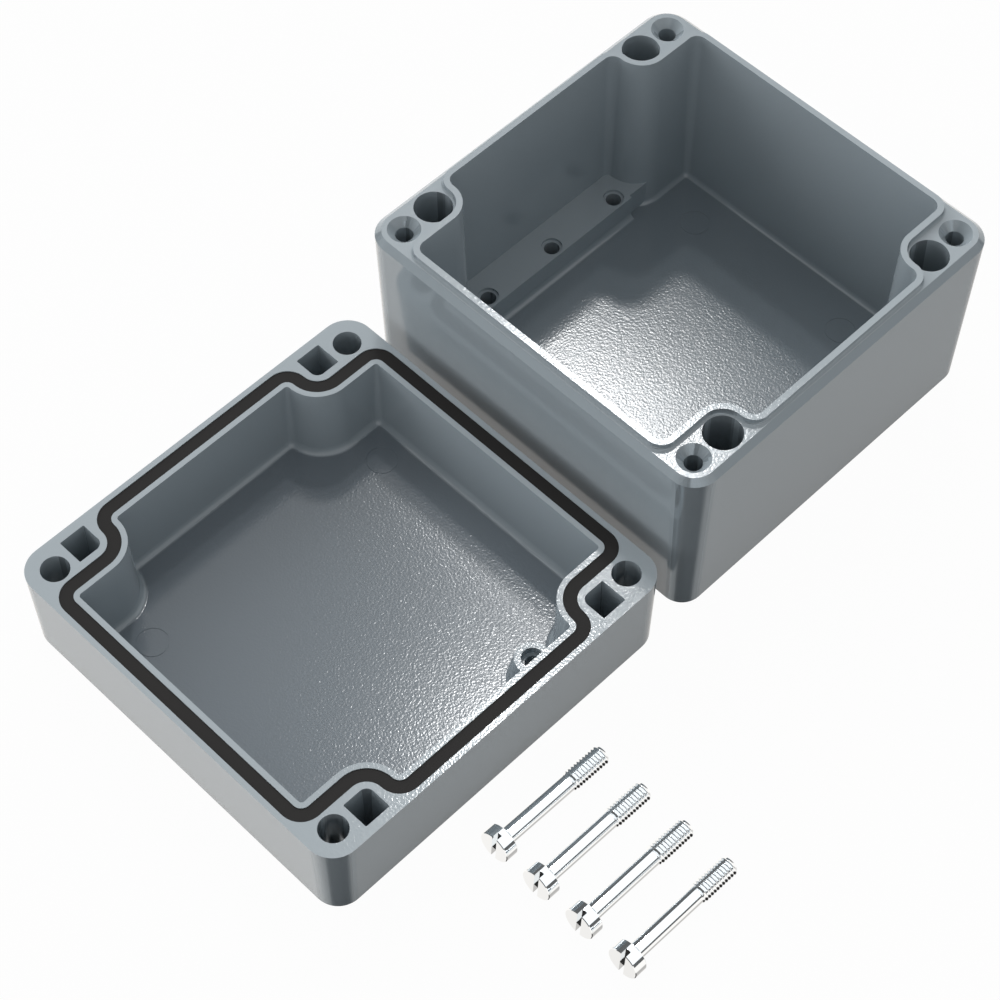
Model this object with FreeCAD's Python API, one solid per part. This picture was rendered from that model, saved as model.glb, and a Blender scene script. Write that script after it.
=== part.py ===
"""Die cast aluminium box, shown open: base shell, lid lying rim up beside it,
seal in the lid's groove and the four lid screws lying on the ground.

Millimetres. Z is up and z = 0 is the surface that everything lies on.
The origin is the centre of the base's underside. The lid is modelled about
its own centre and moved to LID_CENTRE; each screw is modelled along +Z and
laid down afterwards.
"""
import FreeCAD, Part
import math
import os

V = FreeCAD.Vector

# outer form, shared by the base and the lid
OUTER_X = 122.0
OUTER_Y = 120.0
OUTER_CORNER_R = 8.0
DRAFT_DEG = 1.55
DRAFT = math.tan(math.radians(DRAFT_DEG))
UNDERSIDE_EDGE_R = 0.6

# lid screws
HEAD_R = 4.7
HEAD_LENGTH = 3.9
SLOT_W = 1.6
SLOT_DEPTH = 1.7
SHANK_R = 2.35
THREAD_R = 2.85
THREAD_LENGTH = 12.8
SCREW_LENGTH = 39.7
TIP_CHAMFER = 0.6
SHANK_ROOT = 0.5

# lid screw pattern, and the wall mounting pattern beside it
SCREW_INSET = 8.0
MOUNT_STEP = 11.0
SCREW_SPACING_X = OUTER_X - 2 * SCREW_INSET
SCREW_SPACING_Y = OUTER_Y - 2 * SCREW_INSET
MOUNT_SPACING_X = SCREW_SPACING_X
MOUNT_SPACING_Y = SCREW_SPACING_Y - 2 * MOUNT_STEP

# seal line: the closed curve that tongue, groove and seal follow;
# it bends round each mounting hole with radius SEAL_BOSS_R
SEAL_INSET = 3.5
SEAL_BOSS_R = 7.0
SEAL_X = OUTER_X / 2 - SEAL_INSET
SEAL_Y = OUTER_Y / 2 - SEAL_INSET
SEAL_BOSS_X = MOUNT_SPACING_X / 2 - SEAL_BOSS_R
SEAL_BOSS_Y = MOUNT_SPACING_Y / 2 - SEAL_BOSS_R

# groove in the lid's rim; the seal fills its width and the base's tongue enters it
GROOVE_HALF_W = 1.9
GROOVE_DEPTH = 4.2
SEAL_RECESS = 0.3
TONGUE_CLEARANCE_IN = 0.9
TONGUE_CLEARANCE_OUT = 1.1

# base
BASE_LAND_Z = 59.7
BASE_CHAMFER = 1.8
BASE_FLOOR_Z = 3.5
BASE_FLOOR_R = 1.6
BASE_LEAST_R = 1.8
TONGUE_HEIGHT = 2.0
TONGUE_IN = GROOVE_HALF_W - TONGUE_CLEARANCE_IN
TONGUE_OUT = GROOVE_HALF_W - TONGUE_CLEARANCE_OUT
TONGUE_CORNER_R = 4.0
TONGUE_FOOT_R = 0.85
TONGUE_ROOT = 1.0
TONGUE_FOOT_MARGIN = 0.5
MOUNT_ACCESS_R = 5.45
MOUNT_HOLE_R = 3.2
MOUNT_FLANGE = 6.0
THREAD_BITE = 0.35
PILOT_R = THREAD_R - THREAD_BITE
PILOT_DEPTH = 20.0
PILOT_CONE_R = 4.66
PILOT_CONE_DEPTH = 2.3

# ledges inside the base, one along each X wall
LEDGE_Z = 12.3
LEDGE_WIDTH = 17.5
LEDGE_EDGE_X = OUTER_X / 2 - LEDGE_WIDTH
LEDGE_STEP = 0.9
LEDGE_REACH = 16.0
LEDGE_RUN = 100.0
LEDGE_FRONT_HALF_Y = 30.0
LEDGE_HOLE_INSET = 3.7
LEDGE_HOLE_X = LEDGE_EDGE_X + LEDGE_HOLE_INSET
LEDGE_HOLE_PITCH = 26.0
LEDGE_HOLE_R = 2.3
LEDGE_HOLE_DEPTH = 8.0
LEDGE_SPOT_R = 3.1
LEDGE_SPOT_DEPTH = 0.9
LEDGE_FOOT_R = 1.8

# lid, rim up
LID_HEIGHT = 28.8
LID_FLOOR_Z = 3.5
LID_FLOOR_R = 2.0
LID_LEAST_R = 2.2
LID_CORNER_R = 4.5
LID_WALL = 1.6
NECK_CLEARANCE = 0.45
LID_NECK_R = THREAD_R + NECK_CLEARANCE
LID_NECK_LENGTH = 4.0
LID_HOLE_STEP = 0.7
LID_HOLE_R = LID_NECK_R + LID_HOLE_STEP
HEAD_CLEARANCE = 0.7
HEAD_SINK_R = HEAD_R + HEAD_CLEARANCE
HEAD_SINK_DEPTH = 6.0
POCKET_IN_X = 2.95
POCKET_OUT_X = 5.3
POCKET_IN_Y = 3.0
POCKET_OUT_Y = 5.0
POCKET_X = (MOUNT_SPACING_X / 2 - POCKET_IN_X, MOUNT_SPACING_X / 2 + POCKET_OUT_X)
POCKET_Y = (MOUNT_SPACING_Y / 2 - POCKET_IN_Y, MOUNT_SPACING_Y / 2 + POCKET_OUT_Y)
POCKET_TAPER = 1.3 * DRAFT
POCKET_DEPTH = 22.0
POCKET_INNER_R = 2.4
POCKET_EDGE_R = 0.4
LID_BOSS_INSET = 13.7
LID_BOSS_X = OUTER_X / 2 - LID_BOSS_INSET
LID_BOSS_Y = 23.2
LID_BOSS_HEIGHT = 10.0
LID_BOSS_TOP_R = 4.9
LID_BOSS_FOOT_R = 7.0
LID_BOSS_WEB = 10.0
LID_BOSS_HOLE_R = 2.1
LID_BOSS_SINK_R = 3.1
LID_BOSS_SINK_DEPTH = 2.4
LID_BOSS_HOLE_DEPTH = 8.4

# witness marks of the ejector pins
EJECTOR_R = 4.5
EJECTOR_LINE = 0.16
EJECTOR_DEPTH = 0.12
BASE_EJECTOR_X = 28.4
BASE_EJECTOR_Y = 41.6
LID_EJECTOR_X = (-31.6, -31.1)
LID_EJECTOR_Y = (-40.6, 43.2)

# where the loose pieces lie
LID_GAP = 6.2
LID_SHIFT = 0.84
LID_CENTRE = (-LID_SHIFT, -(OUTER_Y + LID_GAP))
SCREW_ROW_GAP = 14.0
SCREW_PITCH = 14.9
SCREW_X = [OUTER_X / 2 + SCREW_ROW_GAP + k * SCREW_PITCH for k in range(4)]
SCREW_TIP_STEP = 20.2
SCREW_TIP_Y = LID_CENTRE[1] + SCREW_TIP_STEP

CORNERS = ((1, 1), (-1, 1), (-1, -1), (1, -1))


def arc(centre, radius, start_deg, end_deg, z):
    """Arc of less than half a turn through its middle point."""
    points = []
    for deg in (start_deg, 0.5 * (start_deg + end_deg), end_deg):
        a = math.radians(deg)
        points.append(V(centre[0] + radius * math.cos(a), centre[1] + radius * math.sin(a), z))
    return Part.Arc(*points).toShape()


def rounded_rectangle(half_x, half_y, radius, z):
    """Closed wire, counter-clockwise from above."""
    edges = []
    cx = half_x - radius
    cy = half_y - radius
    edges.append(Part.makeLine(V(half_x, -cy, z), V(half_x, cy, z)))
    edges.append(arc((cx, cy), radius, 0, 90, z))
    edges.append(Part.makeLine(V(cx, half_y, z), V(-cx, half_y, z)))
    edges.append(arc((-cx, cy), radius, 90, 180, z))
    edges.append(Part.makeLine(V(-half_x, cy, z), V(-half_x, -cy, z)))
    edges.append(arc((-cx, -cy), radius, 180, 270, z))
    edges.append(Part.makeLine(V(-cx, -half_y, z), V(cx, -half_y, z)))
    edges.append(arc((cx, -cy), radius, 270, 360, z))
    return Part.Wire(edges)


def seal_wire(offset, corner_r, z, min_r=0.0):
    """The seal line moved outward by offset, as a closed wire at height z.

    corner_r is the radius of the line's corners that point outward; the bends
    round the screw bosses keep their centre over the mounting holes.
    """
    half_x = SEAL_X + offset
    half_y = SEAL_Y + offset
    boss_x = SEAL_BOSS_X + offset
    boss_y = SEAL_BOSS_Y + offset
    hole_x = SEAL_BOSS_X + SEAL_BOSS_R
    hole_y = SEAL_BOSS_Y + SEAL_BOSS_R
    bend = SEAL_BOSS_R - offset
    turn = max(corner_r + offset, min_r)
    rim_x = half_x - turn
    rim_y = boss_y - turn
    swing = 90.0
    if rim_x < hole_x - 1e-6:
        rim_y = hole_y - math.sqrt((bend + turn) ** 2 - (hole_x - rim_x) ** 2)
        swing = math.degrees(math.atan2(hole_y - rim_y, hole_x - rim_x))
    side_x = boss_x - turn
    side_y = half_y - turn

    def quarter(sx, sy):
        """Edges of one quarter, from the X wall round to the Y wall."""
        def point(x, y):
            return V(sx * x, sy * y, z)

        def bow(x, y, radius, start, end):
            pts = []
            for deg in (start, 0.5 * (start + end), end):
                a = math.radians(deg)
                pts.append(point(x + radius * math.cos(a), y + radius * math.sin(a)))
            return Part.Arc(*pts).toShape()

        found = [bow(rim_x, rim_y, turn, 0, swing)]
        if rim_x > hole_x + 1e-6:
            found.append(Part.makeLine(point(rim_x, boss_y), point(hole_x, boss_y)))
        found.append(bow(hole_x, hole_y, bend, 180 + swing, 180))
        found.append(Part.makeLine(point(boss_x, hole_y), point(boss_x, side_y)))
        found.append(bow(side_x, side_y, turn, 0, 90))
        return found

    edges = [Part.makeLine(V(half_x, -rim_y, z), V(half_x, rim_y, z))]
    edges += quarter(1, 1)
    edges.append(Part.makeLine(V(side_x, half_y, z), V(-side_x, half_y, z)))
    edges += quarter(-1, 1)[::-1]
    edges.append(Part.makeLine(V(-half_x, rim_y, z), V(-half_x, -rim_y, z)))
    edges += quarter(-1, -1)
    edges.append(Part.makeLine(V(-side_x, -half_y, z), V(side_x, -half_y, z)))
    edges += quarter(1, -1)[::-1]
    return Part.Wire(Part.__sortEdges__(edges))


def loft(lower, upper):
    return Part.makeLoft([lower, upper], True, True)


def plate(wire, height):
    return Part.Face(wire).extrude(V(0, 0, height))


def cylinder(radius, height, x, y, z):
    return Part.makeCylinder(radius, height, V(x, y, z))


def edges_at(shape, z, test=None):
    """Edges that lie wholly at height z."""
    found = []
    for edge in shape.Edges:
        box = edge.BoundBox
        if abs(box.ZMin - z) < 1e-4 and abs(box.ZMax - z) < 1e-4:
            if test is None or test(edge):
                found.append(edge)
    return found


def drafted_body(top_z):
    """Outer block, narrower toward z = 0, with its underside edge rounded."""
    lost = top_z * DRAFT
    lower = rounded_rectangle(OUTER_X / 2 - lost, OUTER_Y / 2 - lost, OUTER_CORNER_R - lost, 0)
    upper = rounded_rectangle(OUTER_X / 2, OUTER_Y / 2, OUTER_CORNER_R, top_z)
    body = loft(lower, upper)
    return body.makeFillet(UNDERSIDE_EDGE_R, edges_at(body, 0))


def cavity(offset_top, corner_r, floor_z, top_z, floor_r, min_r):
    """Solid of the hollow: narrower toward the floor, floor edge rounded."""
    lost = (top_z - floor_z) * DRAFT
    lower = seal_wire(offset_top - lost, corner_r, floor_z, min_r)
    upper = seal_wire(offset_top, corner_r, top_z)
    hollow = loft(lower, upper)
    return hollow.makeFillet(floor_r, edges_at(hollow, floor_z))


def ejector_mark(x, y, z):
    ring = cylinder(EJECTOR_R, EJECTOR_DEPTH, x, y, z - EJECTOR_DEPTH)
    return ring.cut(cylinder(EJECTOR_R - EJECTOR_LINE, EJECTOR_DEPTH, x, y, z - EJECTOR_DEPTH))


def make_base():
    shoulder_z = BASE_LAND_Z - BASE_CHAMFER
    top_z = BASE_LAND_Z + TONGUE_HEIGHT
    body = drafted_body(shoulder_z)
    land = rounded_rectangle(OUTER_X / 2 - BASE_CHAMFER, OUTER_Y / 2 - BASE_CHAMFER,
                             OUTER_CORNER_R - BASE_CHAMFER, BASE_LAND_Z)
    edge = rounded_rectangle(OUTER_X / 2, OUTER_Y / 2, OUTER_CORNER_R, shoulder_z)
    body = body.fuse(loft(edge, land))
    tongue = plate(seal_wire(TONGUE_OUT, TONGUE_CORNER_R, BASE_LAND_Z - TONGUE_ROOT),
                   TONGUE_HEIGHT + TONGUE_ROOT)
    body = body.fuse(tongue).removeSplitter()
    foot_x = OUTER_X / 2 - BASE_CHAMFER - TONGUE_FOOT_MARGIN
    foot_y = OUTER_Y / 2 - BASE_CHAMFER - TONGUE_FOOT_MARGIN
    foot = edges_at(body, BASE_LAND_Z, lambda e: e.BoundBox.XMax < foot_x and e.BoundBox.XMin > -foot_x
                    and e.BoundBox.YMax < foot_y and e.BoundBox.YMin > -foot_y)
    body = body.makeFillet(TONGUE_FOOT_R, foot)

    hollow = cavity(-TONGUE_IN, TONGUE_CORNER_R, BASE_FLOOR_Z, top_z, BASE_FLOOR_R, BASE_LEAST_R)
    ledges = []
    for side in (1, -1):
        run = Part.makeBox(LEDGE_REACH, LEDGE_RUN, LEDGE_Z, V(0, -LEDGE_RUN / 2, 0))
        proud = Part.makeBox(LEDGE_REACH + LEDGE_STEP, 2 * LEDGE_FRONT_HALF_Y, LEDGE_Z,
                             V(-LEDGE_STEP, -LEDGE_FRONT_HALF_Y, 0))
        round_x = -LEDGE_STEP - LEDGE_FOOT_R
        round_z = BASE_FLOOR_Z + LEDGE_FOOT_R
        foot = Part.makeBox(LEDGE_FOOT_R + LEDGE_STEP, 2 * LEDGE_FRONT_HALF_Y, round_z,
                            V(round_x, -LEDGE_FRONT_HALF_Y, 0))
        foot = foot.cut(Part.makeCylinder(LEDGE_FOOT_R, 2 * LEDGE_FRONT_HALF_Y,
                                          V(round_x, -LEDGE_FRONT_HALF_Y, round_z), V(0, 1, 0)))
        block = run.fuse(proud).fuse(foot).removeSplitter()
        block.translate(V(LEDGE_EDGE_X + LEDGE_STEP, 0, 0))
        if side < 0:
            block = block.mirror(V(0, 0, 0), V(1, 0, 0))
        ledges.append(block)
    for block in ledges:
        hollow = hollow.cut(block)
    body = body.cut(hollow)

    cuts = []
    for sx, sy in CORNERS:
        mx = sx * MOUNT_SPACING_X / 2
        my = sy * MOUNT_SPACING_Y / 2
        cuts.append(cylinder(MOUNT_ACCESS_R, top_z, mx, my, MOUNT_FLANGE))
        cuts.append(cylinder(MOUNT_HOLE_R, MOUNT_FLANGE + 1, mx, my, -1))
        px = sx * SCREW_SPACING_X / 2
        py = sy * SCREW_SPACING_Y / 2
        cuts.append(cylinder(PILOT_R, PILOT_DEPTH, px, py, BASE_LAND_Z - PILOT_DEPTH))
        cuts.append(Part.makeCone(PILOT_R, PILOT_CONE_R, PILOT_CONE_DEPTH,
                                  V(px, py, BASE_LAND_Z - PILOT_CONE_DEPTH)))
    for side in (1, -1):
        for k in (-1, 0, 1):
            hx = side * LEDGE_HOLE_X
            hy = k * LEDGE_HOLE_PITCH
            cuts.append(cylinder(LEDGE_HOLE_R, LEDGE_HOLE_DEPTH, hx, hy, LEDGE_Z - LEDGE_HOLE_DEPTH))
            cuts.append(cylinder(LEDGE_SPOT_R, LEDGE_SPOT_DEPTH, hx, hy, LEDGE_Z - LEDGE_SPOT_DEPTH))
    for sx, sy in CORNERS:
        cuts.append(ejector_mark(sx * BASE_EJECTOR_X, sy * BASE_EJECTOR_Y, BASE_FLOOR_Z))
    for tool in cuts:
        body = body.cut(tool)
    return body


def make_pocket():
    """Tapered pocket beside a screw hole, for the corner at +X +Y."""
    x0, x1 = POCKET_X
    y0, y1 = POCKET_Y

    def outline(shrink, z):
        left, right = x0 + shrink, x1 - shrink
        low, high = y0 + shrink, y1 - shrink
        r, big = POCKET_EDGE_R, POCKET_INNER_R - shrink
        edges = [
            Part.makeLine(V(right, low + r, z), V(right, high - r, z)),
            arc((right - r, high - r), r, 0, 90, z),
            Part.makeLine(V(right - r, high, z), V(left + r, high, z)),
            arc((left + r, high - r), r, 90, 180, z),
            Part.makeLine(V(left, high - r, z), V(left, low + big, z)),
            arc((left + big, low + big), big, 180, 270, z),
            Part.makeLine(V(left + big, low, z), V(right - r, low, z)),
            arc((right - r, low + r), r, 270, 360, z),
        ]
        return Part.Wire(edges)

    return loft(outline(POCKET_DEPTH * POCKET_TAPER, LID_HEIGHT - POCKET_DEPTH), outline(0.0, LID_HEIGHT))


def make_lid():
    body = drafted_body(LID_HEIGHT)
    hollow = cavity(-GROOVE_HALF_W - LID_WALL, LID_CORNER_R, LID_FLOOR_Z, LID_HEIGHT, LID_FLOOR_R,
                    LID_LEAST_R)
    boss = Part.makeCone(LID_BOSS_FOOT_R, LID_BOSS_TOP_R, LID_BOSS_HEIGHT,
                         V(LID_BOSS_X, LID_BOSS_Y, LID_FLOOR_Z))
    web = Part.makeBox(LID_BOSS_WEB, 2 * LID_BOSS_TOP_R, LID_BOSS_HEIGHT,
                       V(LID_BOSS_X, LID_BOSS_Y - LID_BOSS_TOP_R, LID_FLOOR_Z))
    hollow = hollow.cut(boss.fuse(web))
    body = body.cut(hollow)

    groove = plate(seal_wire(GROOVE_HALF_W, LID_CORNER_R, LID_HEIGHT - GROOVE_DEPTH), GROOVE_DEPTH)
    core = plate(seal_wire(-GROOVE_HALF_W, LID_CORNER_R, LID_HEIGHT - GROOVE_DEPTH), GROOVE_DEPTH)
    cuts = [groove.cut(core)]
    pocket = make_pocket()
    for sx, sy in CORNERS:
        shape = pocket
        if sx < 0:
            shape = shape.mirror(V(0, 0, 0), V(1, 0, 0))
        if sy < 0:
            shape = shape.mirror(V(0, 0, 0), V(0, 1, 0))
        cuts.append(shape)
        px = sx * SCREW_SPACING_X / 2
        py = sy * SCREW_SPACING_Y / 2
        neck_top = HEAD_SINK_DEPTH + LID_NECK_LENGTH
        cuts.append(cylinder(LID_HOLE_R, LID_HEIGHT - neck_top, px, py, neck_top))
        cuts.append(cylinder(LID_NECK_R, LID_NECK_LENGTH, px, py, HEAD_SINK_DEPTH))
        cuts.append(cylinder(HEAD_SINK_R, HEAD_SINK_DEPTH + 1, px, py, -1))
    boss_top = LID_FLOOR_Z + LID_BOSS_HEIGHT
    cuts.append(cylinder(LID_BOSS_HOLE_R, LID_BOSS_HOLE_DEPTH, LID_BOSS_X, LID_BOSS_Y,
                         boss_top - LID_BOSS_HOLE_DEPTH))
    cuts.append(cylinder(LID_BOSS_SINK_R, LID_BOSS_SINK_DEPTH, LID_BOSS_X, LID_BOSS_Y,
                         boss_top - LID_BOSS_SINK_DEPTH))
    for mark_x, mark_y in zip(LID_EJECTOR_X, LID_EJECTOR_Y):
        cuts.append(ejector_mark(mark_x, mark_y, LID_FLOOR_Z))
    for tool in cuts:
        body = body.cut(tool)
    body.translate(V(LID_CENTRE[0], LID_CENTRE[1], 0))
    return body


def make_seal():
    half = GROOVE_HALF_W
    low = LID_HEIGHT - GROOVE_DEPTH
    height = GROOVE_DEPTH - SEAL_RECESS
    ring = plate(seal_wire(half, LID_CORNER_R, low), height)
    ring = ring.cut(plate(seal_wire(-half, LID_CORNER_R, low), height))
    ring.translate(V(LID_CENTRE[0], LID_CENTRE[1], 0))
    return ring


def make_screw(x):
    """Slotted captive screw; its head rim and its tip both touch the ground."""
    screw = cylinder(HEAD_R, HEAD_LENGTH, 0, 0, 0)
    screw = screw.cut(Part.makeBox(SLOT_W, 4 * HEAD_R, SLOT_DEPTH, V(-SLOT_W / 2, -2 * HEAD_R, 0)))
    thread_start = SCREW_LENGTH - THREAD_LENGTH
    screw = screw.fuse(cylinder(SHANK_R, thread_start, 0, 0, SLOT_DEPTH + SHANK_ROOT))
    screw = screw.fuse(cylinder(THREAD_R, THREAD_LENGTH - TIP_CHAMFER, 0, 0, thread_start))
    screw = screw.fuse(Part.makeCone(THREAD_R, THREAD_R - TIP_CHAMFER, TIP_CHAMFER,
                                     V(0, 0, SCREW_LENGTH - TIP_CHAMFER)))
    screw = screw.removeSplitter()
    span = SCREW_LENGTH - TIP_CHAMFER - HEAD_LENGTH
    tilt = math.degrees(math.atan2(HEAD_R - THREAD_R, span))
    screw.rotate(V(0, 0, 0), V(1, 0, 0), -90 - tilt)
    box = screw.BoundBox
    screw.translate(V(x, SCREW_TIP_Y - box.YMax, -box.ZMin))
    return screw


os.makedirs("parts", exist_ok=True)
PARTS = {"base": make_base(), "lid": make_lid(), "seal": make_seal()}
for index, screw_x in enumerate(SCREW_X):
    PARTS["lid_screw_%d" % (index + 1)] = make_screw(screw_x)
for name, shape in PARTS.items():
    solids = shape.Solids
    box = shape.BoundBox
    print(name, shape.isValid(), len(solids), round(shape.Volume, 1),
          [round(v, 2) for v in (box.XMin, box.XMax, box.YMin, box.YMax, box.ZMin, box.ZMax)])
    if len(solids) != 1:
        raise SystemExit("%s is not one solid" % name)
    solids[0].exportStep("parts/%s.step" % name)
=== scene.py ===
import math

import bmesh
import bpy
from mathutils import Matrix, Vector


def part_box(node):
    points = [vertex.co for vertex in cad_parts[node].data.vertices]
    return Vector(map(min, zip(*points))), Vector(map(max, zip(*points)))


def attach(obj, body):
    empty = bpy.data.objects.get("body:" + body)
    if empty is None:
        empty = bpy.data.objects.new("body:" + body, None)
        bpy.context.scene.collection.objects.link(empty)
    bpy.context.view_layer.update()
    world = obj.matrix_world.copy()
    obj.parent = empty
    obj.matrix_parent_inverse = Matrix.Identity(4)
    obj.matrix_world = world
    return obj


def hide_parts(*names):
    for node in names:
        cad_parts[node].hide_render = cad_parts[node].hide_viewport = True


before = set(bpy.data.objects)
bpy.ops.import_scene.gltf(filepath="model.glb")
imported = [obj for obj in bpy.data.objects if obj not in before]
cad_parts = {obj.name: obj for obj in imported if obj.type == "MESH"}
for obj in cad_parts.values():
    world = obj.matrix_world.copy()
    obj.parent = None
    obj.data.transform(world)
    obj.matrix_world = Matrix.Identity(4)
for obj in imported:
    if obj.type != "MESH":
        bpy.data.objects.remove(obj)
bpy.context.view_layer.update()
MM = 0.001

# camera; the centre is where its axis meets the picture
CAMERA_AT = (0.296310, -0.364575, 0.627178)
AZIMUTH_DEG = 44.975
ELEVATION_DEG = 54.909
FOCAL_WIDTHS = 2.722864
CENTRE_PX = (501.276, 439.778)
PICTURE_PX = 1000.0
SENSOR_MM = 36.0

# far oval lamps that make the glare: place, width, height, power
LAMPS = (("base_glare", Vector((-2.235, 2.545, 4.962)), 0.51, 0.32, 15.5),
         ("base_glare_centre", Vector((-2.430, 2.515, 4.870)), 0.22, 0.22, 7.5),
         ("lid_glare", Vector((-1.850, 1.950, 5.322)), 0.32, 0.32, 22.5))

# daylight on the paint: level by azimuth from +Y towards +X, in degrees, up to the tops given as sines,
# and one even level above them
DAY_LEVEL = 2.6
DAY_RING = ((0, 0.35), (30, 0.23), (110, 0.23), (150, 0.38), (200, 0.54), (240, 0.96), (300, 0.92),
            (330, 0.70), (360, 0.35))
DAY_TOPS = ((0, 0.60), (120, 0.42), (220, 0.45), (255, 0.70), (300, 0.80), (335, 0.80), (360, 0.60))
DAY_SOFT = 0.12
DAY_ABOVE = 0.40

# studio as mirrors see it: level by azimuth as above, and heights as sines
LOW_RING = ((0, 0.62), (35, 0.55), (75, 0.40), (80, 0.22), (90, 0.03), (105, 0.0), (155, 0.03), (167, 0.12),
            (172, 0.42), (205, 0.80), (225, 0.98), (300, 1.0), (360, 0.62))
LOW_EDGE = (-0.72, -0.55)
HORIZON = (-0.01, 0.01)
GAP_TOPS = ((0, 0.45), (35, 0.35), (110, 0.35), (150, 0.6), (225, 0.73), (330, 0.73), (360, 0.45))
STUDIO_LIGHT = 1.1
STUDIO_DARK = 0.12
LOW_TINT = (1.04, 1.0, 0.96)
HIGH_TINT = (0.98, 1.0, 1.01)
WHITE = (1.0, 1.0, 1.0)

# floor
FLOOR_HALF = 4.0
FLOOR_DROP = 0.0001
FLOOR_COLOUR = (0.6, 0.6, 0.6)
FLOOR_WHITE = 0.97

# coat: the rim colour is the paint's own; the walls and floors get darker copies of it as painted shade,
# darkest on the floors
COAT_RIM = (0.375, 0.426, 0.458)
COAT_WALL_PAINTED_SHADE = (0.312, 0.359, 0.390)
COAT_BASE_FLOOR_PAINTED_SHADE = (0.222, 0.262, 0.292)
COAT_LID_FLOOR_PAINTED_SHADE = (0.180, 0.212, 0.240)
COAT_ROUGHNESS = 0.10
INNER_ROUGHNESS = 0.12
CORNER_METALLIC = 0.45
RIPPLE_SCALE = 1500.0
RIPPLE_HEIGHT = 0.0175 * MM
RIPPLE_DISTORTION = 0.3
GRAIN_SCALE = 1500.0
GRAIN_HEIGHT = 0.019 * MM
GRAIN_OFF_RIM = 0.2
COAT_DETAIL = 1.0

# where the coat changes: from sloped to level, from floor to rim, from wall to corner, and the lid's place
LEVEL_FACE = (0.93, 0.99)
FLOOR_BELOW = 7.0 * MM
FLOOR_EDGE = 0.5 * MM
CORNER_TURN = (0.08, 0.30)
LID_EDGE_Y = -63.1 * MM
LID_CENTRE_Y = -126.2 * MM

# seal
RUBBER_COLOUR = (0.020, 0.0185, 0.018)
RUBBER_ROUGHNESS = 0.55
RUBBER_SPECULAR = 0.2
PORE_SCALE = 1800.0
PORE_HEIGHT = 0.02 * MM

# zinc plate on the lid screws
PLATE_COLOUR = (0.95, 0.98, 1.0)
PLATE_ROUGHNESS = 0.05
BRUSH_SCALE = 900.0
BRUSH_HEIGHT = 0.004 * MM

# bumps of the seal and the plate
FINE_DETAIL = 2.0
FINE_STRENGTH = 0.5

# lid screws, in millimetres along their own axis from the head's open face
SCREW_COUNT = 4
HEAD_R = 4.695
HEAD_LENGTH = 3.9
HEAD_EDGE = 0.18
HEAD_SIDES = 128
SLOT_W = 1.5
SLOT_DEPTH = 1.9
SHANK_R = 2.35
SHANK_ROOT = 0.5
SHANK_RING = 4.0
SHANK_SIDES = 64
THREAD_R = 2.85
THREAD_DEPTH = 0.55
THREAD_PITCH = 1.05
THREAD_LENGTH = 12.8
THREAD_CREST = 1.15
THREAD_STEPS = 16
TIP_LENGTH = 0.6
SCREW_LENGTH = 39.7
SHARP_DEG = 32.0


def new_material(name):
    mat = bpy.data.materials.new(name)
    mat.use_nodes = True
    return mat, mat.node_tree, mat.node_tree.nodes["Principled BSDF"]


def math_node(tree, operation, first, second=0.0):
    """Math node on two sockets or numbers."""
    node = tree.nodes.new("ShaderNodeMath")
    node.operation = operation
    for socket, value in zip(node.inputs, (first, second)):
        if isinstance(value, (int, float)):
            socket.default_value = value
        else:
            tree.links.new(value, socket)
    return node.outputs[0]


def ramp_node(tree, value, low, high):
    """0 below low, 1 above high, smooth between."""
    node = tree.nodes.new("ShaderNodeMapRange")
    node.interpolation_type = "SMOOTHSTEP"
    node.inputs["From Min"].default_value = low
    node.inputs["From Max"].default_value = high
    tree.links.new(value, node.inputs["Value"])
    return node.outputs["Result"]


def mix_node(tree, factor, first, second):
    """Blend of two colours, each a socket or its three numbers."""
    node = tree.nodes.new("ShaderNodeMix")
    node.data_type = "RGBA"
    tree.links.new(factor, node.inputs["Factor"])
    for socket, value in ((node.inputs["A"], first), (node.inputs["B"], second)):
        if isinstance(value, tuple):
            socket.default_value = (*value, 1.0)
        else:
            tree.links.new(value, socket)
    return node.outputs["Result"]


def tint_node(tree, level, colour):
    """Level or colour times a colour."""
    node = tree.nodes.new("ShaderNodeMix")
    node.data_type = "RGBA"
    node.blend_type = "MULTIPLY"
    node.inputs["Factor"].default_value = 1.0
    tree.links.new(level, node.inputs["A"])
    node.inputs["B"].default_value = (*colour, 1.0)
    return node.outputs["Result"]


def ring_node(tree, turn, stops):
    """Grey level by azimuth; stops are (degrees, level)."""
    node = tree.nodes.new("ShaderNodeValToRGB")
    elements = node.color_ramp.elements
    while len(elements) > 1:
        elements.remove(elements[-1])
    first_degrees, first_level = stops[0]
    elements[0].position = first_degrees / 360.0
    elements[0].color = (first_level, first_level, first_level, 1.0)
    for degrees, level in stops[1:]:
        element = elements.new(degrees / 360.0)
        element.color = (level, level, level, 1.0)
    tree.links.new(turn, node.inputs["Fac"])
    return node.outputs["Color"]


def noise_node(tree, where, scale, detail, distortion=0.0):
    node = tree.nodes.new("ShaderNodeTexNoise")
    node.inputs["Scale"].default_value = scale
    node.inputs["Detail"].default_value = detail
    node.inputs["Distortion"].default_value = distortion
    tree.links.new(where, node.inputs["Vector"])
    return node.outputs["Fac"]


def bump_node(tree, height, strength, distance, normal=None):
    """Bump whose strength is a socket or a number, on top of another normal if one is given."""
    node = tree.nodes.new("ShaderNodeBump")
    node.inputs["Distance"].default_value = distance
    tree.links.new(height, node.inputs["Height"])
    if isinstance(strength, float):
        node.inputs["Strength"].default_value = strength
    else:
        tree.links.new(strength, node.inputs["Strength"])
    if normal:
        tree.links.new(normal, node.inputs["Normal"])
    return node.outputs["Normal"]


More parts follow.
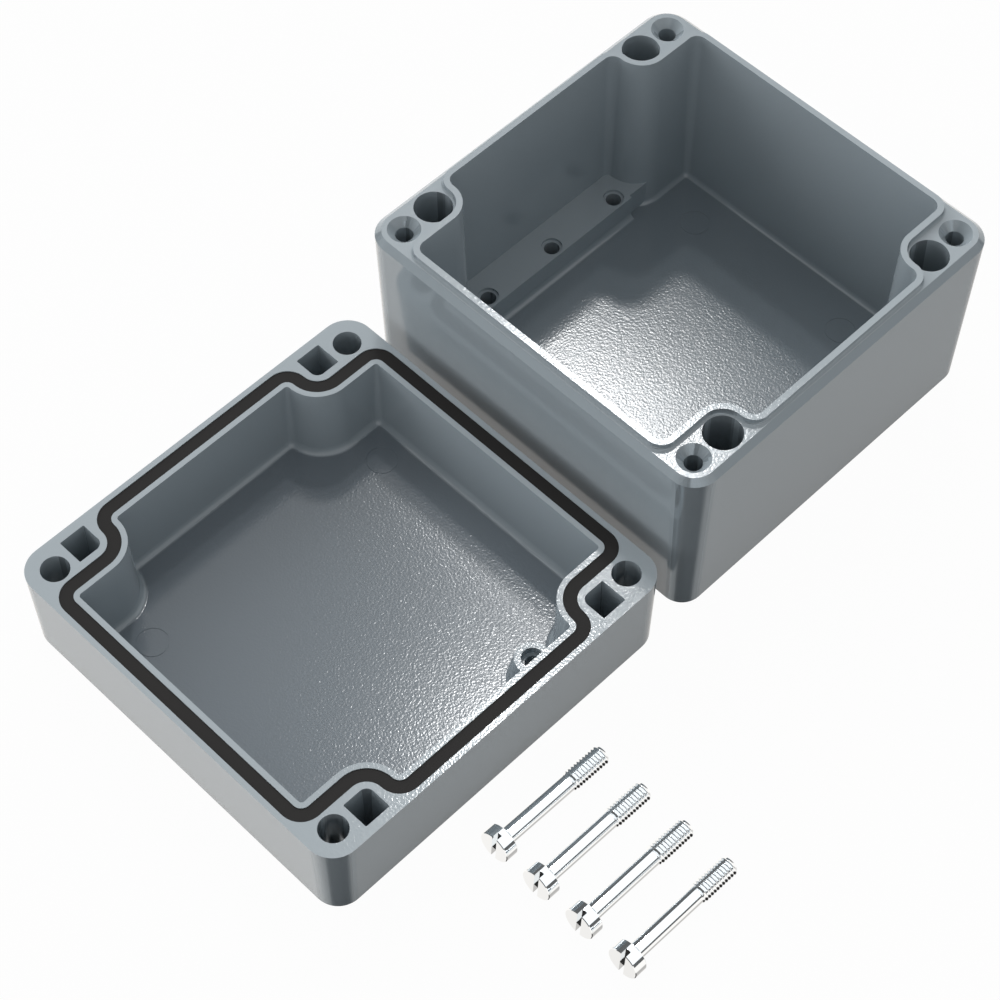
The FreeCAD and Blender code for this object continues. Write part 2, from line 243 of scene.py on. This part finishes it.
def coat_material():
    """Gloss paint with painted shade (darker colour on the walls, darker still on the floors): rippled on the
    floors, grained on the rims, part metallic on the outer corners.
    """
    mat, tree, shader = new_material("coat")
    place = tree.nodes.new("ShaderNodeTexCoord").outputs["Object"]
    split = tree.nodes.new("ShaderNodeSeparateXYZ")
    tree.links.new(place, split.inputs[0])
    facing = tree.nodes.new("ShaderNodeSeparateXYZ")
    tree.links.new(tree.nodes.new("ShaderNodeNewGeometry").outputs["True Normal"], facing.inputs[0])

    up = ramp_node(tree, facing.outputs["Z"], *LEVEL_FACE)
    high = ramp_node(tree, split.outputs["Z"], FLOOR_BELOW, FLOOR_BELOW + FLOOR_EDGE)
    rim = math_node(tree, "MULTIPLY", up, high)
    floor = math_node(tree, "MULTIPLY", up, math_node(tree, "SUBTRACT", 1.0, high))

    # inner walls face the middle of their own shell
    lid = math_node(tree, "LESS_THAN", split.outputs["Y"], LID_EDGE_Y)
    middle = math_node(tree, "MULTIPLY", lid, LID_CENTRE_Y)
    from_centre = math_node(tree, "SUBTRACT", split.outputs["Y"], middle)
    outward = math_node(tree, "ADD", math_node(tree, "MULTIPLY", facing.outputs["X"], split.outputs["X"]),
                        math_node(tree, "MULTIPLY", facing.outputs["Y"], from_centre))
    inner = math_node(tree, "LESS_THAN", outward, 0.0)

    # painted shade: walls take a darker copy of the rim colour and floors a darker one still, standing in for
    # the shade they get
    floor_painted_shade = mix_node(tree, lid, COAT_BASE_FLOOR_PAINTED_SHADE, COAT_LID_FLOOR_PAINTED_SHADE)
    rim_or_painted_wall_shade = mix_node(tree, rim, COAT_WALL_PAINTED_SHADE, COAT_RIM)
    tree.links.new(mix_node(tree, floor, rim_or_painted_wall_shade, floor_painted_shade), shader.inputs["Base Color"])
    dull = math_node(tree, "MAXIMUM", floor, inner)
    spread = math_node(tree, "MULTIPLY", dull, INNER_ROUGHNESS - COAT_ROUGHNESS)
    tree.links.new(math_node(tree, "ADD", spread, COAT_ROUGHNESS), shader.inputs["Roughness"])

    ripple = noise_node(tree, place, RIPPLE_SCALE, COAT_DETAIL, RIPPLE_DISTORTION)
    grain = noise_node(tree, place, GRAIN_SCALE, COAT_DETAIL)
    rippled = bump_node(tree, ripple, floor, RIPPLE_HEIGHT)
    on_rim = math_node(tree, "MULTIPLY", rim, 1.0 - GRAIN_OFF_RIM)
    grain_share = math_node(tree, "ADD", on_rim, GRAIN_OFF_RIM)
    tree.links.new(bump_node(tree, grain, grain_share, GRAIN_HEIGHT, rippled), shader.inputs["Normal"])

    both_ways = math_node(tree, "MULTIPLY", facing.outputs["X"], facing.outputs["Y"])
    turned = ramp_node(tree, math_node(tree, "ABSOLUTE", both_ways), *CORNER_TURN)
    corner = math_node(tree, "MULTIPLY", turned, math_node(tree, "SUBTRACT", 1.0, inner))
    tree.links.new(math_node(tree, "MULTIPLY", corner, CORNER_METALLIC), shader.inputs["Metallic"])
    return mat


def rubber_material():
    """Matte black rubber with fine pores."""
    mat, tree, shader = new_material("rubber")
    place = tree.nodes.new("ShaderNodeTexCoord").outputs["Object"]
    shader.inputs["Base Color"].default_value = (*RUBBER_COLOUR, 1.0)
    shader.inputs["Roughness"].default_value = RUBBER_ROUGHNESS
    shader.inputs["Specular IOR Level"].default_value = RUBBER_SPECULAR
    pores = noise_node(tree, place, PORE_SCALE, FINE_DETAIL)
    tree.links.new(bump_node(tree, pores, FINE_STRENGTH, PORE_HEIGHT), shader.inputs["Normal"])
    return mat


def plate_material():
    """Bright zinc plate."""
    mat, tree, shader = new_material("zinc_plate")
    place = tree.nodes.new("ShaderNodeTexCoord").outputs["Object"]
    shader.inputs["Base Color"].default_value = (*PLATE_COLOUR, 1.0)
    shader.inputs["Metallic"].default_value = 1.0
    shader.inputs["Roughness"].default_value = PLATE_ROUGHNESS
    brush = noise_node(tree, place, BRUSH_SCALE, FINE_DETAIL)
    tree.links.new(bump_node(tree, brush, FINE_STRENGTH, BRUSH_HEIGHT), shader.inputs["Normal"])
    return mat


def dress(name, mat):
    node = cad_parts[name]
    node.data.materials.clear()
    node.data.materials.append(mat)


def thread_radius(z, turn):
    """Radius of the threaded end, z from where the thread starts."""
    phase = (z / THREAD_PITCH - turn) % 1.0
    rise = 1.0 - abs(2.0 * phase - 1.0)
    crest = min(1.0, THREAD_CREST * rise)
    runout = min(1.0, z / THREAD_PITCH)
    return THREAD_R - THREAD_DEPTH * (1.0 - crest) - (THREAD_R - SHANK_R) * (1.0 - runout) * crest


def ring(mesh, z, radius, around):
    """Ring of vertices at height z; radius is a function of the turn, 0 to 1."""
    verts = []
    for i in range(around):
        turn = i / around
        angle = 2.0 * math.pi * turn
        r = radius(turn)
        verts.append(mesh.verts.new((r * math.cos(angle) * MM, r * math.sin(angle) * MM, z * MM)))
    return verts


def skin(mesh, rings):
    """Closed surface through rings of equal count."""
    for low, high in zip(rings, rings[1:]):
        for i in range(len(low)):
            j = (i + 1) % len(low)
            mesh.faces.new((low[i], low[j], high[j], high[i]))
    mesh.faces.new(rings[0][::-1])
    mesh.faces.new(rings[-1])


def finish_mesh(mesh, name):
    """Smooth faces, with sharp edges where the surface really turns."""
    bmesh.ops.recalc_face_normals(mesh, faces=mesh.faces)
    for face in mesh.faces:
        face.smooth = True
    for edge in mesh.edges:
        edge.smooth = edge.is_manifold and edge.calc_face_angle(0.0) < math.radians(SHARP_DEG)
    data = bpy.data.meshes.new(name)
    mesh.to_mesh(data)
    mesh.free()
    return data


def shank_mesh():
    """Plain shank and threaded end as one closed surface, along +Z from under the head."""
    start = SCREW_LENGTH - THREAD_LENGTH
    mesh = bmesh.new()
    plain = (HEAD_LENGTH - SHANK_ROOT, HEAD_LENGTH + SHANK_RING, start)
    rings = [ring(mesh, z, lambda turn: SHANK_R, SHANK_SIDES) for z in plain]
    count = int((THREAD_LENGTH - TIP_LENGTH) / THREAD_PITCH * THREAD_STEPS)
    for k in range(1, count + 1):
        z = k * (THREAD_LENGTH - TIP_LENGTH) / count
        rings.append(ring(mesh, start + z, lambda turn: thread_radius(z, turn), SHANK_SIDES))
    rings.append(ring(mesh, SCREW_LENGTH, lambda turn: THREAD_R - TIP_LENGTH, SHANK_SIDES))
    skin(mesh, rings)
    return finish_mesh(mesh, "screw_shank")


def head_mesh():
    """Cheese head with broken edges and its slot, open face at z = 0."""
    mesh = bmesh.new()
    profile = ((0.0, HEAD_R - HEAD_EDGE), (HEAD_EDGE, HEAD_R), (HEAD_LENGTH - HEAD_EDGE, HEAD_R),
               (HEAD_LENGTH, HEAD_R - HEAD_EDGE))
    skin(mesh, [ring(mesh, z, lambda turn: r, HEAD_SIDES) for z, r in profile])
    head = bpy.data.objects.new("head", finish_mesh(mesh, "head"))
    bpy.context.collection.objects.link(head)
    cut = bmesh.new()
    bmesh.ops.create_cube(cut, size=1.0)
    size = Matrix.Diagonal((SLOT_W * MM, 4 * HEAD_R * MM, 2 * SLOT_DEPTH * MM, 1.0))
    bmesh.ops.transform(cut, matrix=size, verts=cut.verts)
    cutter_data = bpy.data.meshes.new("slot")
    cut.to_mesh(cutter_data)
    cut.free()
    cutter = bpy.data.objects.new("slot", cutter_data)
    bpy.context.collection.objects.link(cutter)
    modifier = head.modifiers.new("slot", "BOOLEAN")
    modifier.operation = "DIFFERENCE"
    modifier.object = cutter
    bpy.context.view_layer.update()
    shaped = bpy.data.meshes.new_from_object(head.evaluated_get(bpy.context.evaluated_depsgraph_get()))
    bpy.data.objects.remove(head)
    bpy.data.objects.remove(cutter)
    mesh = bmesh.new()
    mesh.from_mesh(shaped)
    return finish_mesh(mesh, "screw_head")


def lay_screws(plate):
    """Each screw lies on its head's rim and its thread's crest, slot upright, tip towards +Y."""
    shank_data = shank_mesh()
    head_data = head_mesh()
    span = SCREW_LENGTH - TIP_LENGTH - HEAD_LENGTH
    tilt = math.atan2(HEAD_R - THREAD_R, span)
    lay = Matrix.Rotation(-math.pi / 2 - tilt, 4, "X")
    for index in range(1, SCREW_COUNT + 1):
        node = "lid_screw_%d" % index
        low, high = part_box(node)
        pieces = []
        for data, part in ((shank_data, "shank"), (head_data, "head")):
            piece = bpy.data.objects.new("%s_%s" % (node, part), data.copy())
            bpy.context.collection.objects.link(piece)
            piece.data.materials.clear()
            piece.data.materials.append(plate)
            piece.data.transform(lay)
            pieces.append(piece)
        points = [v.co for piece in pieces for v in piece.data.vertices]
        move = Vector(((low[0] + high[0]) / 2, high[1] - max(p.y for p in points),
                       low[2] - min(p.z for p in points)))
        for piece in pieces:
            piece.data.transform(Matrix.Translation(move))
            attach(piece, "root")
            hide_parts(node)


def lay_floor():
    """Floor: white to the camera with the object's faint shadow, and hidden from mirrors."""
    half = FLOOR_HALF
    corners = [(-half, -half, 0), (half, -half, 0), (half, half, 0), (-half, half, 0)]
    data = bpy.data.meshes.new("floor")
    data.from_pydata(corners, [], [(0, 1, 2, 3)])
    floor = bpy.data.objects.new("floor", data)
    bpy.context.collection.objects.link(floor)
    floor.location.z = -FLOOR_DROP
    floor.visible_glossy = False
    mat, tree, shader = new_material("floor")
    shader.inputs["Base Color"].default_value = (*FLOOR_COLOUR, 1.0)
    shader.inputs["Roughness"].default_value = 1.0
    shader.inputs["Specular IOR Level"].default_value = 0.0
    glow = tree.nodes.new("ShaderNodeEmission")
    seen = tree.nodes.new("ShaderNodeLightPath")
    mix = tree.nodes.new("ShaderNodeMixShader")
    tree.links.new(math_node(tree, "MULTIPLY", seen.outputs["Is Camera Ray"], FLOOR_WHITE), mix.inputs["Fac"])
    tree.links.new(shader.outputs[0], mix.inputs[1])
    tree.links.new(glow.outputs[0], mix.inputs[2])
    tree.links.new(mix.outputs[0], tree.nodes["Material Output"].inputs["Surface"])
    data.materials.append(mat)


def daylight(tree, turn, height):
    """Sky that lights the paint: by azimuth up to its top edge, even above."""
    ring_light = tint_node(tree, ring_node(tree, turn, DAY_RING), (DAY_LEVEL, DAY_LEVEL, DAY_LEVEL))
    over = math_node(tree, "SUBTRACT", height, ring_node(tree, turn, DAY_TOPS))
    rise = ramp_node(tree, over, -DAY_SOFT, DAY_SOFT)
    return mix_node(tree, rise, ring_light, (DAY_ABOVE, DAY_ABOVE, DAY_ABOVE))


def reflections(tree, turn, height):
    """Surroundings that mirrors see: light floor, dark gap above the horizon, light walls over it."""
    below = mix_node(tree, ramp_node(tree, height, *LOW_EDGE), ring_node(tree, turn, LOW_RING), WHITE)
    over_gap = math_node(tree, "GREATER_THAN", height, ring_node(tree, turn, GAP_TOPS))
    above = math_node(tree, "MAXIMUM", math_node(tree, "MULTIPLY", over_gap, STUDIO_LIGHT), STUDIO_DARK)
    return mix_node(tree, ramp_node(tree, height, *HORIZON), tint_node(tree, below, LOW_TINT),
                    tint_node(tree, above, HIGH_TINT))


def studio():
    """World: white to the camera, the studio to mirrors, daylight to everything else."""
    world = bpy.data.worlds.new("studio")
    bpy.context.scene.world = world
    world.use_nodes = True
    world.cycles.sampling_method = "NONE"
    tree = world.node_tree
    axes = tree.nodes.new("ShaderNodeSeparateXYZ")
    tree.links.new(tree.nodes.new("ShaderNodeTexCoord").outputs["Generated"], axes.inputs[0])
    azimuth = math_node(tree, "ARCTAN2", axes.outputs["X"], axes.outputs["Y"])
    turn = math_node(tree, "FRACT", math_node(tree, "DIVIDE", azimuth, 2.0 * math.pi))
    height = axes.outputs["Z"]
    seen = tree.nodes.new("ShaderNodeLightPath")
    plain = mix_node(tree, seen.outputs["Is Camera Ray"], daylight(tree, turn, height), WHITE)
    shown = mix_node(tree, seen.outputs["Is Glossy Ray"], plain, reflections(tree, turn, height))
    tree.links.new(shown, tree.nodes["Background"].inputs["Color"])


def glare_lamp(name, at, width, height, power):
    """Oval lamp that faces the origin."""
    data = bpy.data.lights.new(name, "AREA")
    data.shape = "ELLIPSE"
    data.size = width
    data.size_y = height
    data.energy = power
    lamp = bpy.data.objects.new(name, data)
    bpy.context.collection.objects.link(lamp)
    lamp.location = at
    lamp.rotation_euler = (-at).to_track_quat("-Z", "Y").to_euler()


def place_camera():
    azimuth = math.radians(AZIMUTH_DEG)
    elevation = math.radians(ELEVATION_DEG)
    back = Vector((math.sin(azimuth) * math.cos(elevation), -math.cos(azimuth) * math.cos(elevation),
                   math.sin(elevation)))
    data = bpy.data.cameras.new("camera")
    data.sensor_width = SENSOR_MM
    data.lens = FOCAL_WIDTHS * SENSOR_MM
    data.shift_x = (PICTURE_PX / 2 - CENTRE_PX[0]) / PICTURE_PX
    data.shift_y = (CENTRE_PX[1] - PICTURE_PX / 2) / PICTURE_PX
    camera = bpy.data.objects.new("camera", data)
    bpy.context.collection.objects.link(camera)
    camera.location = CAMERA_AT
    camera.rotation_euler = back.to_track_quat("Z", "Y").to_euler()
    bpy.context.scene.camera = camera


coat = coat_material()
for shell in ("base", "lid"):
    dress(shell, coat)
dress("seal", rubber_material())
lay_screws(plate_material())
lay_floor()
studio()
for lamp in LAMPS:
    glare_lamp(*lamp)
place_camera()
bpy.context.scene.view_settings.view_transform = "Standard"
